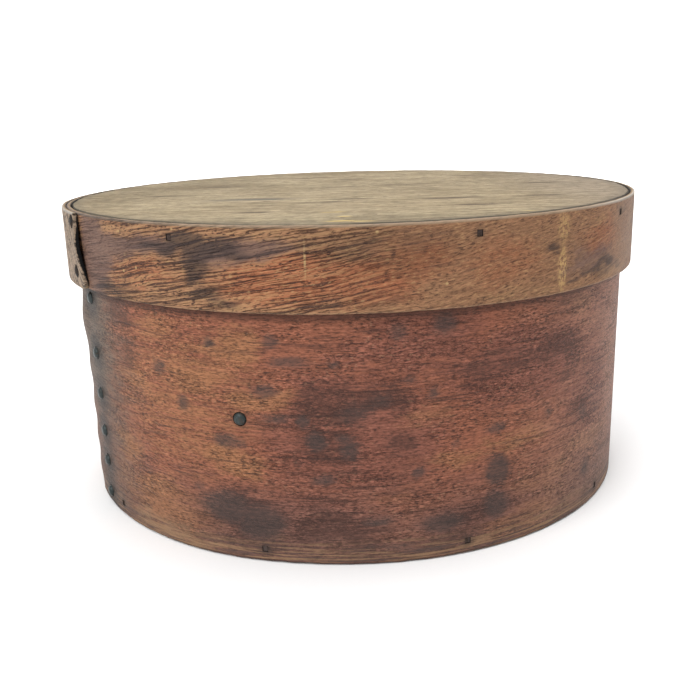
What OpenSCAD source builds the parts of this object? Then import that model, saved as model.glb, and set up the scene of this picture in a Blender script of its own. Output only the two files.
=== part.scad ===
// A round bentwood pantry box with a loose lid.
// Each wall is one thin strip bent round a form until its ends lap. The strip's outer end lies on top, and its
// inner end is feathered, so that the layer above runs down over it on to the single wall.
// The box stands on z = 0, centred on the round inside of its body. Bearings are degrees, counter-clockwise
// from +X, and the front of the box is at 270.

/* [Body] */
// Inside diameter of the body
body_inner_d = 228; // [140:1:360]
// Height of the body's wall
body_h = 110; // [80:1:180]
// Thickness of the body's strip
body_strip_t = 1.5; // [1.2:0.1:2.5]
// Bearing of the outer end of the body's lap
body_lap_end = 203; // [0:1:359]
// Length of the body's lap along the wall
body_lap = 108; // [90:1:140]

/* [Lid] */
// Height of the lid's wall
lid_h = 28.5; // [20:0.5:50]
// Thickness of the lid's strip
lid_strip_t = 1.8; // [1.4:0.1:2.5]
// Radial room between the body's lap and the lid
lid_room = 0.5; // [0.4:0.1:2]
// Bearing of the outer end of the lid's lap
lid_lap_end = 215; // [0:1:359]
// Length of the lid's lap along the wall
lid_lap = 90; // [75:1:130]

/* [Laps] */
// Length of the feathered inner end of a strip
feather = 44; // [30:1:50]
// Length in which the outer layer comes down past the inner end
come_down = 24; // [15:1:40]
// Hairline gap between the two layers of a lap
lap_gap = 0.1; // [0.05:0.05:0.3]

/* [Boards] */
// Thickness of the lid's board
lid_board_t = 9; // [6:0.5:14]
// Thickness of the bottom board
bottom_board_t = 9.5; // [6:0.5:14]
// Radial gap between a board and the band round it
board_gap = 0.3; // [0.1:0.05:0.8]
// Worn edge of the boards
board_edge = 0.6; // [0.2:0.1:1.5]

/* [Tacks] */
// Diameter of a tack's head
tack_head_d = 4.6; // [3.5:0.1:6]
// Depth of a tack's head below the wood's surface
tack_sunk = 0.5; // [0.3:0.1:0.6]
// Height of a tack's domed head above the wood's surface
tack_proud = 0.5; // [0.3:0.1:0.6]
// Diameter of a tack's shank
tack_shank_d = 1.4; // [1:0.1:2]
// Length of a tack's shank where it goes into a board
tack_reach = 11; // [8:0.5:16]
// Length of a tack's tip, bent down inside the wall
tack_tip = 4; // [2:0.5:5]
// Thickness of that bent tip
tack_tip_t = 0.5; // [0.3:0.1:0.6]
// Distance of the body's row of tacks from the end of its lap
row_setback = 15.5; // [8:0.5:20]
// Height of the row's lowest tack
row_low = 5.3; // [4:0.1:6.5]
// Distance of the row's highest tack below the body's rim
row_high = 7; // [5:0.5:10]
// Distance of the lone tack from the feathered inner end
lone_setback = 14; // [8:0.5:20]
// Height of the lone tack
lone_height = 53; // [20:1:70]
// Distance of the lid's tacks from the end of its lap
lid_tack_setback = 8; // [5:0.5:12]
// Distance of the lid's upper tack below the lid's top
lid_tack_top = 3.4; // [3:0.1:4]
// Distance of the lid's lower tack above the lid's bottom edge
lid_tack_bottom = 6.4; // [5:0.1:8]

/* [Nails] */
// Width of a cut nail, the same from head to tip
nail_w = 2; // [1.5:0.1:3]
// Depth of a cut nail at its head
nail_head = 2.1; // [1.5:0.1:3]
// Depth of a cut nail at its tip
nail_tip = 0.9; // [0.5:0.1:1.4]
// Length of a cut nail
nail_len = 17; // [12:0.5:25]
// Depth of a nail's head below the wood's surface
nail_set = 0.2; // [0.1:0.05:0.5]
// Distance of the lid's nails below the lid's top
lid_nail_drop = 4.7; // [3:0.1:5]
// Height of the bottom nails
bottom_nail_z = 5; // [3:0.1:5.5]
// Number of bottom nails
bottom_nails_n = 10; // [6:1:14]
// Bearing of the first bottom nail
bottom_nail_first = 1.5; // [0:0.5:20]
// Room round a nail or a tack in its hole
fastener_room = 0.05; // [0.02:0.01:0.1]

/* [Hidden] */
$fn = 96;

// Places of the row's tacks between its lowest and its highest, set by eye and closer towards the foot.
row_shares = [0, 0.14, 0.27, 0.43, 0.6, 0.825, 1];
// Bearings of the lid's nails, unevenly spaced by the maker.
lid_nail_bearings = [14, 59, 104, 149, 192, 240, 290, 326];
// Step of a strip's outline, in degrees.
strip_step = 3;
// How far a cut runs past the surface that it opens.
past = 1;

total_h = body_h + lid_board_t;
lid_z = total_h - lid_h;
body_inner_r = body_inner_d / 2;
body_lap_r = body_inner_r + 2 * body_strip_t + lap_gap;
lid_inner_r = body_lap_r + lid_room;

// Each band as a list: inside radius, strip, lap angle, bearing of the outer end and which way the lap runs.
BODY = [body_inner_r, body_strip_t, arc_angle(body_lap, body_inner_r), body_lap_end, 1];
LID = [lid_inner_r, lid_strip_t, arc_angle(lid_lap, lid_inner_r), lid_lap_end, -1];
function inner_r(band) = band[0];
function strip_t(band) = band[1];
function lap_angle(band) = band[2];
function lap_end(band) = band[3];
function lap_way(band) = band[4];

function arc_angle(length, radius) = length / radius * 180 / PI;
function feather_angle(band) = arc_angle(feather, inner_r(band));
function down_angle(band) = arc_angle(come_down, inner_r(band));
function ease(share) = share * share * (3 - 2 * share);
function on_circle(radius, angle) = radius * [cos(angle), sin(angle)];

// Angle along the lap from its outer end to a bearing, and the bearing of a distance along the lap.
function along(band, bearing) = (lap_way(band) * (bearing - lap_end(band)) + 720) % 360;
function bearing_at(band, length) = lap_end(band) + lap_way(band) * arc_angle(length, inner_r(band));

// How far the outer layer lies outside the inner radius: a full strip and the gap over the lap, falling to
// nothing where it becomes the single wall.
function curve_start(band) = lap_angle(band) - feather_angle(band);
function curve_span(band) = feather_angle(band) + down_angle(band);
function curve_share(band, angle) = min(1, max(0, (angle - curve_start(band)) / curve_span(band)));
function lift(band, angle) = (strip_t(band) + lap_gap) * (1 - ease(curve_share(band, angle)));
function surface_r(band, bearing) = outer_face_r(band, along(band, bearing));

// Radius of the strip's two faces, from the outer end at 0 to the inner end past a full turn, where the strip
// lies against the inside again and its outer face stays a hairline under the layer above.
function inner_face_r(band, angle) = inner_r(band) + (angle < 360 ? lift(band, angle) : 0);
function outer_face_r(band, angle) = angle < 360
    ? inner_r(band) + lift(band, angle) + strip_t(band)
    : inner_r(band) + lift(band, angle - 360) - lap_gap;

row_bearing = bearing_at(BODY, row_setback);
row_heights = [for (share = row_shares) row_low + share * (body_h - row_high - row_low)];
lone_bearing = bearing_at(BODY, body_lap - lone_setback);
lid_tack_bearing = bearing_at(LID, lid_tack_setback);
lid_tack_heights = [lid_z + lid_tack_bottom, total_h - lid_tack_top];
bottom_nail_bearings = [for (i = [0 : bottom_nails_n - 1]) bottom_nail_first + i * 360 / bottom_nails_n];

// A band is one strip. Its outline runs from the lap's outer end once round and on under itself to the feathered
// inner end, along the outer face and back along the inner face.
module band_strip(band, height) {
    total = 360 + lap_angle(band);
    angles = [for (a = [0 : strip_step : total - strip_step / 2]) a, total];
    inside = [for (a = angles) on_circle(inner_face_r(band, a), a)];
    outside = [for (a = angles) on_circle(outer_face_r(band, a), a)];
    last = len(angles) - 1;
    rotate([0, 0, lap_end(band)])
        mirror([0, lap_way(band) < 0 ? 1 : 0, 0])
            linear_extrude(height = height)
                polygon(concat(outside, [for (i = [last : -1 : 0]) inside[i]]));
}

// A tack at the wood's surface, pointing along -X: its shank ends at the given depth, and may have a bent tip.
// With room it is the cut for one, open to the outside and, at a bent tip, to the inside.
module tack(depth, proud, bent, room = 0) {
    over = room == 0 ? 0 : bent ? past : room;
    head_r = tack_head_d / 2;
    dome_r = (head_r * head_r + tack_proud * tack_proud) / (2 * tack_proud);
    translate([proud - tack_proud, 0, 0])
        rotate([0, 90, 0]) {
            translate([0, 0, -tack_sunk])
                cylinder(r = head_r + room, h = tack_sunk);
            if (room > 0)
                cylinder(r = head_r + room, h = tack_proud + past);
            else
                intersection() {
                    cylinder(r = head_r, h = tack_proud);
                    translate([0, 0, tack_proud - dome_r])
                        sphere(r = dome_r);
                }
        }
    rotate([0, -90, 0])
        cylinder(d = tack_shank_d + 2 * room, h = depth + over);
    if (bent)
        translate([-depth - over, -tack_shank_d / 2 - room, -tack_tip - room])
            cube([tack_tip_t + over + room, tack_shank_d + 2 * room, tack_tip + 2 * room]);
}

// Places its children on a band's surface, facing outwards.
module on_band(band, bearing, z) {
    rotate([0, 0, bearing])
        translate([surface_r(band, bearing), 0, z])
            children();
}

// The depth of the wood under a tack, from the surface to the inside of the band.
function wall_depth(band, bearing) = surface_r(band, bearing) - inner_r(band);

// A cut nail at the wood's surface, pointing along -X, or with room the cut for one.
module nail(room = 0) {
    outer = room > 0 ? past : -nail_set;
    head = nail_head / 2 + room;
    tip = nail_tip / 2 + room;
    end = -nail_set - nail_len - room;
    translate([0, nail_w / 2 + room, 0])
        rotate([90, 0, 0])
            linear_extrude(height = nail_w + 2 * room)
                polygon([[outer, -head], [outer, head], [end, tip], [end, -tip]]);
}

// The tacks of the body's row. The lowest ones go straight into the bottom board, the others are bent over
// inside, and those that the lid slides over are driven flush.
module row_tacks(room = 0) {
    for (z = row_heights) {
        in_board = z < bottom_board_t + tack_tip;
        under_lid = z > lid_z - tack_head_d / 2;
        on_band(BODY, row_bearing, z)
            tack(in_board ? tack_reach : wall_depth(BODY, row_bearing), under_lid ? 0 : tack_proud, !in_board, room);
    }
}

// The lone tack through the feathered inner end.
module lone_tack(room = 0) {
    on_band(BODY, lone_bearing, lone_height)
        tack(wall_depth(BODY, lone_bearing), tack_proud, true, room);
}

// The lid's two tacks: the upper one goes into the board's edge, the lower one is bent over inside.
module lid_tack_pair(room = 0) {
    for (z = lid_tack_heights) {
        in_board = z > body_h;
        on_band(LID, lid_tack_bearing, z)
            tack(in_board ? tack_reach : wall_depth(LID, lid_tack_bearing), tack_proud, !in_board, room);
    }
}

module lid_nail_ring(room = 0) {
    for (bearing = lid_nail_bearings)
        on_band(LID, bearing, total_h - lid_nail_drop)
            nail(room);
}

module bottom_nail_ring(room = 0) {
    for (bearing = bottom_nail_bearings)
        on_band(BODY, bearing, bottom_nail_z)
            nail(room);
}

// A round board with its outer edges worn off.
module board(radius, thickness) {
    rotate_extrude()
        polygon([
            [0, 0],
            [radius - board_edge, 0],
            [radius, board_edge],
            [radius, thickness - board_edge],
            [radius - board_edge, thickness],
            [0, thickness],
        ]);
}

module body_band() {
    color("#8a4f33")
        difference() {
            band_strip(BODY, body_h);
            row_tacks(fastener_room);
            lone_tack(fastener_room);
            bottom_nail_ring(fastener_room);
        }
}

module bottom_board() {
    color("#9a7b55")
        difference() {
            board(body_inner_r - board_gap, bottom_board_t);
            row_tacks(fastener_room);
            bottom_nail_ring(fastener_room);
        }
}

module lid_band() {
    color("#97663f")
        difference() {
            translate([0, 0, lid_z])
                band_strip(LID, lid_h);
            lid_tack_pair(fastener_room);
            lid_nail_ring(fastener_room);
        }
}

module lid_top_board() {
    color("#a8946a")
        difference() {
            translate([0, 0, body_h])
                board(lid_inner_r - board_gap, lid_board_t);
            lid_tack_pair(fastener_room);
            lid_nail_ring(fastener_room);
        }
}

module body_lap_tacks() {
    color("#3d3f38")
        row_tacks();
}

module inner_lap_tack() {
    color("#3d3f38")
        lone_tack();
}

module lid_lap_tacks() {
    color("#3d3f38")
        lid_tack_pair();
}

module lid_nails() {
    color("#33302c")
        lid_nail_ring();
}

module bottom_nails() {
    color("#33302c")
        bottom_nail_ring();
}

body_band();
bottom_board();
lid_band();
lid_top_board();
body_lap_tacks();
inner_lap_tack();
lid_lap_tacks();
lid_nails();
bottom_nails();
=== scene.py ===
# %% [markdown]
# A bentwood pantry box
#
# This lesson dresses a round wooden box: two thin strips bent into hoops, two round boards inside them,
# and the iron tacks and cut nails that hold it all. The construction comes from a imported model, the
# frame, which gives every size and place. Here each plain piece is modelled again with the wear of an old
# box and gets its finish.

# %% Load the frame
import math
import bpy
from mathutils import Matrix, Vector, noise


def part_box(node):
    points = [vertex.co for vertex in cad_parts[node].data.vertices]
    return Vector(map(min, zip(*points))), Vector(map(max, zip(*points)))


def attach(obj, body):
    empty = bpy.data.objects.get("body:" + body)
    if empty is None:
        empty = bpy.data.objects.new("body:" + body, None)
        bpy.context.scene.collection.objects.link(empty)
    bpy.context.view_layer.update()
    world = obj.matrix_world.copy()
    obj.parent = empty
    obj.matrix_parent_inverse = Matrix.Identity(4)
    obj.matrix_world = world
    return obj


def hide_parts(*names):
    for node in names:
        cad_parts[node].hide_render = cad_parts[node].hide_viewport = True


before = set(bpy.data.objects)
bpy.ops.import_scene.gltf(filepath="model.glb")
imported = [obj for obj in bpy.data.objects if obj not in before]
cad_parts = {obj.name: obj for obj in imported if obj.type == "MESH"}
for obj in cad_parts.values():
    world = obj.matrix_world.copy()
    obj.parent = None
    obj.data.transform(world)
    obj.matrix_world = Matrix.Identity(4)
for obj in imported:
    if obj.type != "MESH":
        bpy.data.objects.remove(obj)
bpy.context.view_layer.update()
print("frame holds", sorted(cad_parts))

# %% [markdown]
# Sizes
#
# Lengths are in metres, so a millimetre is a named value. The boards' own boxes give the inside radius of
# each hoop, because a board lies a hairline inside its hoop. The front of the box looks along -Y, and a
# place on a hoop is told by its angle from the front, counter-clockwise seen from above.

# %% Name the sizes
MM = 0.001
BOARD_GAP = 0.3 * MM
LAP_GAP = 0.1 * MM
FEATHER = 44 * MM
COME_DOWN = 24 * MM
FRONT_BEARING = 270


def half_width(node):
    """Radius of a round board."""
    low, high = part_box(node)
    return (high.x - low.x) / 2


def hoop(node, board, strip, lap, lap_end, way):
    """What a hoop's strip is: its inside radius, thickness, heights, and the lap of its two ends."""
    low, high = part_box(node)
    inner_r = half_width(board) + BOARD_GAP
    return {
        "inner_r": inner_r,
        "strip": strip * MM,
        "foot": low.z,
        "top": high.z,
        "lap": lap * MM,
        "start": math.radians(lap_end - FRONT_BEARING),
        "way": way,
        "front": 0 if way > 0 else -2 * math.pi * inner_r,
    }


body = hoop("body_band", "bottom_board", strip=1.5, lap=108, lap_end=203, way=1)
lid = hoop("lid_band", "lid_top_board", strip=1.8, lap=90, lap_end=215, way=-1)
print("inside radius of body and lid", round(body["inner_r"] / MM, 2), round(lid["inner_r"] / MM, 2), "mm")

# %% [markdown]
# Small modelling helpers
#
# An operator works on whatever is selected, and loading the frame leaves its nodes selected. So one
# helper selects a single piece first. Another adds a modifier, sets it and applies it. Two more work by
# painting: one keeps a painted number for the finish, and one moves points as far as a weight paint says.

# %% Helpers for pieces


def only(piece):
    """Selects one piece and nothing else."""
    bpy.ops.object.select_all(action="DESELECT")
    piece.select_set(True)
    bpy.context.view_layer.objects.active = piece


def made(name, size=(1, 1, 1)):
    """Names the piece that an operator has just added, sizes it and applies its place to its mesh."""
    piece = bpy.context.object
    piece.name = piece.data.name = name
    piece.scale = size
    only(piece)
    bpy.ops.object.transform_apply(location=True, rotation=True, scale=True)
    return piece


def apply_modifier(piece, kind, **settings):
    """Adds a modifier, sets it up and applies it."""
    only(piece)
    modifier = piece.modifiers.new(kind, kind)
    for name, value in settings.items():
        setattr(modifier, name, value)
    bpy.ops.object.modifier_apply(modifier=modifier.name)


# %% Helpers for painting


def paint(piece, name, value_at):
    """Paints a number that the finish can read. It is kept on face corners, which a Boolean carries over."""
    values = [value_at(point.co) for point in piece.data.vertices]
    layer = piece.data.attributes.new(name, "FLOAT", "CORNER")
    layer.data.foreach_set("value", [values[corner.vertex_index] for corner in piece.data.loops])


def push(piece, axis, distance, weight_at, texture=None):
    """Moves points along one axis by weight paint: weight_at takes a point's place and gives 0 to 1."""
    group = piece.vertex_groups.new(name="push")
    for point in piece.data.vertices:
        weight = min(1.0, max(0.0, weight_at(point.co)))
        if weight > 0:
            group.add([point.index], weight, "REPLACE")
    settings = {"direction": axis, "mid_level": 0, "strength": distance, "texture": texture}
    apply_modifier(piece, "DISPLACE", vertex_group=group.name, **settings)
    piece.vertex_groups.remove(piece.vertex_groups["push"])


def ease(share):
    """A smooth step from 0 to 1."""
    share = min(1.0, max(0.0, share))
    return share * share * (3 - 2 * share)


def bump_at(place, centre, half):
    """A soft round hill: 1 at its centre, near 0 past twice its half size."""
    squares = sum(((p - c) / h) ** 2 for p, c, h in zip(place, centre, half))
    return math.exp(-squares)


# %% [markdown]
# Where the fasteners are
#
# Each group of tacks or nails is one node of the frame with several loose solids. A copy of the node is
# merged and separated into those solids, and each one tells its bearing, how far out its head reaches and
# how high it sits. The copies are then deleted, so the frame stays as it was.

# %% Measure the fasteners
SAME_POINT = 0.01 * MM
TACK_HEAD = 4.6 * MM
TACK_PROUD = 0.5 * MM


def fasteners(node):
    """Angle from the front, outermost radius, lowest and highest point of each loose solid of a node."""
    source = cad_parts[node]
    copy = bpy.data.objects.new("measured", source.data.copy())
    bpy.context.scene.collection.objects.link(copy)
    only(copy)
    bpy.ops.object.mode_set(mode="EDIT")
    bpy.ops.mesh.select_all(action="SELECT")
    bpy.ops.mesh.remove_doubles(threshold=SAME_POINT)
    bpy.ops.mesh.separate(type="LOOSE")
    bpy.ops.object.mode_set(mode="OBJECT")
    places = []
    for part in list(bpy.context.selected_objects):
        points = [point.co for point in part.data.vertices]
        middle = sum(points, Vector()) / len(points)
        places.append({
            "angle": math.atan2(middle.x, -middle.y),
            "reach": max(math.hypot(p.x, p.y) for p in points),
            "low": min(p.z for p in points),
            "high": max(p.z for p in points),
        })
    bpy.ops.object.delete()
    return sorted(places, key=lambda place: place["low"])


row_tacks = fasteners("body_lap_tacks")
lone_tack = fasteners("inner_lap_tack")
lid_tacks = fasteners("lid_lap_tacks")
lid_nails = fasteners("lid_nails")
bottom_nails = fasteners("bottom_nails")
for tack in row_tacks + lone_tack + lid_tacks:
    tack["z"] = tack["high"] - TACK_HEAD / 2
for nail in lid_nails + bottom_nails:
    nail["z"] = (nail["low"] + nail["high"]) / 2
print(len(row_tacks), "row tacks,", len(lid_nails), "lid nails,", len(bottom_nails), "bottom nails")

# %% [markdown]
# A strip, laid out flat
#
# The maker planes a long strip, thins one end to a feather and bends it wet round a form. The same order
# works here. A grid is the flat strip: its length runs along X, its height along Z, and its outer face
# looks along -Y. Solidify gives it thickness and Bevel wears its edges round. Everything that is easier
# on a flat strip is done now: the curl of its tacked end, the worn edges, the painted marks, the
# feathered end, and the lift of the layer that will lie on top. Last, a Simple Deform bends it through
# more than a full turn, and it laps itself.

# %% Shape of the lap


def turn_of(band):
    """The whole angle that a strip goes round."""
    return 2 * math.pi + band["lap"] / band["inner_r"]


def from_end(band, place):
    """Length along the flat strip from its outer end."""
    return band["way"] * (place.x - band["inner_r"] * band["start"])


def lift(band, length):
    """How far the inner face stands off the form: one strip and a hairline over the lap, then none."""
    share = (length - band["lap"] + FEATHER) / (FEATHER + COME_DOWN)
    return (band["strip"] + LAP_GAP) * (1 - ease(share))


def thinning(band, place):
    """Share of the thickness that is planed away at the feathered inner end, under the layer above."""
    under = from_end(band, place) - 2 * math.pi * band["inner_r"]
    if under <= 0:
        return 0
    left = (lift(band, under) - LAP_GAP) / band["strip"]
    return (1 - left) * -place.y / band["strip"]


def on_top(band, place):
    """True on the layer of the lap that lies outside."""
    return from_end(band, place) < band["lap"]


def end_hill(band, place, height, half):
    """A soft hill at the strip's outer end, on the layer that lies outside."""
    return on_top(band, place) * bump_at((from_end(band, place), place.z), (0, height), half)


# %% Make a flat strip
SHARP_ABOVE = math.radians(60)


def flat_strip(name, band, columns, rows, worn):
    """A strip of wood with worn long edges, laid out flat."""
    length = turn_of(band) * band["inner_r"]
    height = band["top"] - band["foot"]
    middle = band["inner_r"] * band["start"] + band["way"] * length / 2
    bpy.ops.mesh.primitive_grid_add(
        x_subdivisions=columns,
        y_subdivisions=rows,
        size=1,
        location=(middle, 0, (band["foot"] + band["top"]) / 2),
        rotation=(math.pi / 2, 0, 0),
    )
    piece = made(name, (length, height, 1))
    apply_modifier(piece, "SOLIDIFY", thickness=band["strip"], offset=1)
    limits = {"limit_method": "ANGLE", "angle_limit": SHARP_ABOVE, "use_clamp_overlap": False}
    apply_modifier(piece, "BEVEL", width=worn, segments=3, **limits)
    front = Vector((band["front"], 0, 0))
    places = [point.co - front for point in piece.data.vertices]
    flat = piece.data.attributes.new("flat", "FLOAT_VECTOR", "CORNER")
    corners = [corner.vertex_index for corner in piece.data.loops]
    flat.data.foreach_set("vector", [value for index in corners for value in places[index]])
    print(name, "laid flat is", round(length / MM), "x", round(height / MM, 1), "mm,", len(places), "points")
    return piece


def bend_round(piece, band):
    """Feathers the inner end, lifts the lap's outer layer and bends the strip round its form."""
    push(piece, "Y", band["strip"], lambda place: thinning(band, place))
    step = band["strip"] + LAP_GAP
    push(piece, "Y", -step, lambda place: lift(band, from_end(band, place)) / step)
    apply_modifier(piece, "SIMPLE_DEFORM", deform_method="BEND", deform_axis="Z", angle=turn_of(band))
    piece.location.y = -band["inner_r"]
    only(piece)
    bpy.ops.object.transform_apply(location=True)


# %% [markdown]
# The body's hoop
#
# On the real box the tacks pull the lap down, and its thin end bulges out between them, most of all
# between the two highest ones that show. A soft hill on the flat strip, painted only on the outer layer,
# makes that bulge. The foot and the rim are not cut clean either, so a cloud texture nibbles at both
# edges.

# %% Shape the body's strip
EDGE_CLOUDS = bpy.data.textures.new("edge_clouds", "CLOUDS")
EDGE_CLOUDS.noise_scale = 5 * MM
EDGE_CLOUDS.noise_depth = 3
EDGE_REACH = 2.5 * MM
BULGE, BULGE_HALF = 1.3 * MM, (9 * MM, 9 * MM)
SLIGHT_BULGE, SLIGHT_HALF = 0.5 * MM, (7 * MM, 5 * MM)


def nibble(piece, band, depth):
    """Wears both long edges unevenly, always inwards, so that the strip never grows past its height."""
    for edge, distance in ((band["foot"], depth), (band["top"], -depth)):
        push(piece, "Z", distance, lambda place: 1 - abs(place.z - edge) / EDGE_REACH, EDGE_CLOUDS)


body_band = flat_strip("body_wall", body, columns=520, rows=56, worn=0.4 * MM)
gaps = [(low["z"] + high["z"]) / 2 for low, high in zip(row_tacks[:-2], row_tacks[1:-1])]
widest = gaps.pop()
push(body_band, "Y", -BULGE, lambda place: end_hill(body, place, widest, BULGE_HALF))
push(
    body_band, "Y", -SLIGHT_BULGE,
    lambda place: max(end_hill(body, place, gap, SLIGHT_HALF) for gap in gaps),
)
nibble(body_band, body, depth=0.8 * MM)
print("the lap bulges most", round(widest / MM, 1), "mm above the foot")

# %% [markdown]
# The lid's hoop
#
# The lid's strip laps the other way. Its cut end shows at the far left of the front, held by two tacks.
# The cut is aslant, its corners are worn round, and it curls up between the tacks. All three are pushes
# on the flat strip.

# %% Shape the lid's strip
CURL, CURL_HALF = 1.0 * MM, (6 * MM, 8 * MM)
ASLANT, ASLANT_REACH = 5.5 * MM, 30 * MM
CORNER = 3.2 * MM
lid_high = lid["top"] - lid["foot"]
lid_middle = (lid["top"] + lid["foot"]) / 2


def slant(place):
    """How far the cut end leans, as a share: most at the top, none away from the end."""
    return (place.z - lid["foot"]) / lid_high * max(0, 1 - from_end(lid, place) / ASLANT_REACH)


def corner_cut(place, side):
    """How far a round corner draws in, as a share of its radius."""
    left = 1 - min(1.0, max(0.0, from_end(lid, place) / CORNER))
    return (1 - math.sqrt(1 - left * left)) * max(0, side * (place.z - lid_middle) / (lid_high / 2))


lid_band = flat_strip("lid_wall", lid, columns=500, rows=16, worn=0.45 * MM)
tab_middle = (lid_tacks[0]["z"] + lid_tacks[1]["z"]) / 2
push(lid_band, "Y", -CURL, lambda place: end_hill(lid, place, tab_middle, CURL_HALF))
push(lid_band, "X", -ASLANT, slant)
for side in (1, -1):
    push(lid_band, "Z", -side * CORNER, lambda place: corner_cut(place, side))
nibble(lid_band, lid, depth=0.3 * MM)
print("the lid's end curls most", round(tab_middle / MM, 1), "mm above the foot of the box")

# %% [markdown]
# Stains and wear, painted on the flat strips
#
# An old varnish has marks where hands, wet and iron have been. Nodes alone would scatter such marks
# anywhere, so the larger ones are painted one by one on the flat strips: how far along from the front, how
# high, and half of each size, in millimetres, and last a strength where it isn't 1. A seeded noise moves
# every place a little, so that a mark isn't a plain oval, and the finish later breaks up its soft rim.

# %% Helpers for marks
WANDER_SEED = 183
UNSEEN_FROM, UNSEEN_FADE = 115, 30
UNSEEN_STRAY = 0.9
MARK_CORE, MARK_RIM = 0.2, 1.3
BENDING = ((15, 10), 3.7, (6, 4))
FRAYING = ((5, 4), 8.1, (2, 1.5))
noise.seed_set(WANDER_SEED)


def wander(along, height, stray):
    """Moves a place a few millimetres about, the same way in each run."""
    sideways, upwards = 0, 0
    # A slow noise bends a mark and a quick one frays it. Each has the size of its waves, a layer and a reach
    for (long, high), layer, (reach_along, reach_up) in (BENDING, FRAYING):
        drift = noise.noise_vector(Vector((along / long, height / high, layer)))
        sideways += reach_along * drift.x
        upwards += reach_up * drift.z
    return along + stray * sideways, height + stray * upwards


def marks_at(place, band, marks, stray=1):
    """The strongest of the marks at a place. Their rims wander more on the side that the photo hides."""
    along = (place.x - band["front"]) / MM
    behind = ease((along - UNSEEN_FROM) / UNSEEN_FADE)
    along, height = wander(along, place.z / MM, stray * (1 + UNSEEN_STRAY * behind))
    best = 0
    for mark in marks:
        far = math.hypot((along - mark[0]) / mark[2], (height - mark[1]) / mark[3])
        strength = mark[4] if len(mark) > 4 else 1
        best = max(best, strength * (1 - ease((far - MARK_CORE) / MARK_RIM)))
    return best


def paint_marks(piece, band, layers):
    """Paints each layer of marks under its own name."""
    for name, marks in layers.items():
        paint(piece, name, lambda place: marks_at(place, band, marks))
        print(piece.name, "has", len(marks), "marks called", name)


# %% Marks on the body
# One of these marks, 88 mm along and 87 mm high, darkens the body just under the lid's edge.
BODY_STAINS = [
    (-14, 58, 8, 6, 0.9), (-1, 59, 11, 8), (11, 61, 10, 6), (-9, 46, 12, 9, 0.8), (-41, 17, 21, 12, 0.7),
    (-10, 15, 11, 7), (-4, 40, 8, 9, 0.6), (-83, 30, 7, 5, 0.5), (-87, 70, 7, 5, 0.6), (-92, 83, 8, 7, 0.7),
    (42, 67, 12, 6, 0.6), (58, 69, 14, 6, 0.6), (78, 70, 15, 7, 0.7), (78, 83, 13, 4, 0.5),
    (86, 64, 9, 8, 0.7), (50, 29, 7, 8, 0.6), (42, 15, 10, 5, 0.6), (0, 10, 7, 6, 0.8), (2, 3, 26, 4, 0.6),
    (97, 44, 14, 9, 0.5), (13, 45, 5, 5, 0.7), (31, 6, 12, 4), (-41, 6, 26, 4, 0.7), (88, 87, 22, 3.5, 0.5),
    (150, 60, 16, 10, 0.8), (190, 30, 24, 11), (235, 72, 18, 8, 0.7), (280, 45, 20, 13, 0.8),
    (330, 20, 28, 10), (345, 78, 14, 7, 0.7), (395, 52, 22, 9, 0.8), (450, 30, 18, 13),
    (480, 75, 16, 8, 0.7), (530, 40, 20, 10, 0.8), (570, 66, 12, 9, 0.7), (590, 15, 22, 8),
]
BODY_BLOTS = [
    (-44.8, 44.4, 4.8, 3.3), (-40, 43.6, 3.6, 2.2, 0.7), (-26.6, 54, 6.5, 1.7, 0.9),
    (-16.8, 53.2, 3.2, 2.8), (-13.4, 46.4, 4.5, 3.6), (-4, 47.5, 3.2, 1.7, 0.9),
    (-19.8, 38.9, 2.4, 1.3, 0.9), (-12, 32.2, 4.2, 2.2), (-30.3, 63.4, 4.8, 2.6), (-61, 56, 2.7, 3.6, 0.9),
    (-48, 79.8, 2.5, 2), (-70.9, 68, 3.7, 3.8, 0.8), (-27.3, 80.4, 3.6, 3, 0.8),
    (-20.9, 73.8, 7.5, 2.2, 0.9), (-5.6, 73.6, 1.9, 1.9), (-57, 25.8, 2.6, 2, 0.7), (-46.6, 19.6, 12, 7),
    (-33.8, 14.9, 10, 8), (49.6, 29.8, 5.2, 7), (50, 17, 6.2, 6.2, 0.9), (30, 13.7, 9.5, 4.2, 0.9),
    (6.6, 15.9, 6.5, 1.7), (20.5, 33, 2.4, 2.1), (-2.2, 43.1, 4.2, 5.2, 0.8), (49.7, 45.5, 5.2, 2.2, 0.8),
    (34.7, 42.5, 2.4, 2.2, 0.6), (99.8, 16.6, 4.2, 4.7, 0.8), (73, 46.9, 3.2, 2.6, 0.7),
    (94.8, 41.1, 4.2, 4.2, 0.6), (14.9, 83.9, 4.2, 3.6, 0.7), (29.5, 85.5, 5.2, 4.7, 0.9),
    (26.4, 60.8, 2.6, 2.4, 0.8), (18, 67, 2.8, 2.4, 0.7), (1, 56, 8, 5, 0.6), (7, 60, 6, 4, 0.6),
    (160, 76, 4, 3), (185, 55, 6, 2.4, 0.8), (248, 24, 8, 6, 0.9), (268, 60, 3, 2.6), (315, 48, 4.6, 3.4),
    (352, 66, 7, 2, 0.8), (378, 16, 9, 6, 0.9), (415, 38, 3.2, 2.8), (440, 82, 4, 3.2, 0.8),
    (505, 56, 5, 3.6), (520, 16, 10, 5, 0.9), (562, 34, 3, 3, 0.8),
]
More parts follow.
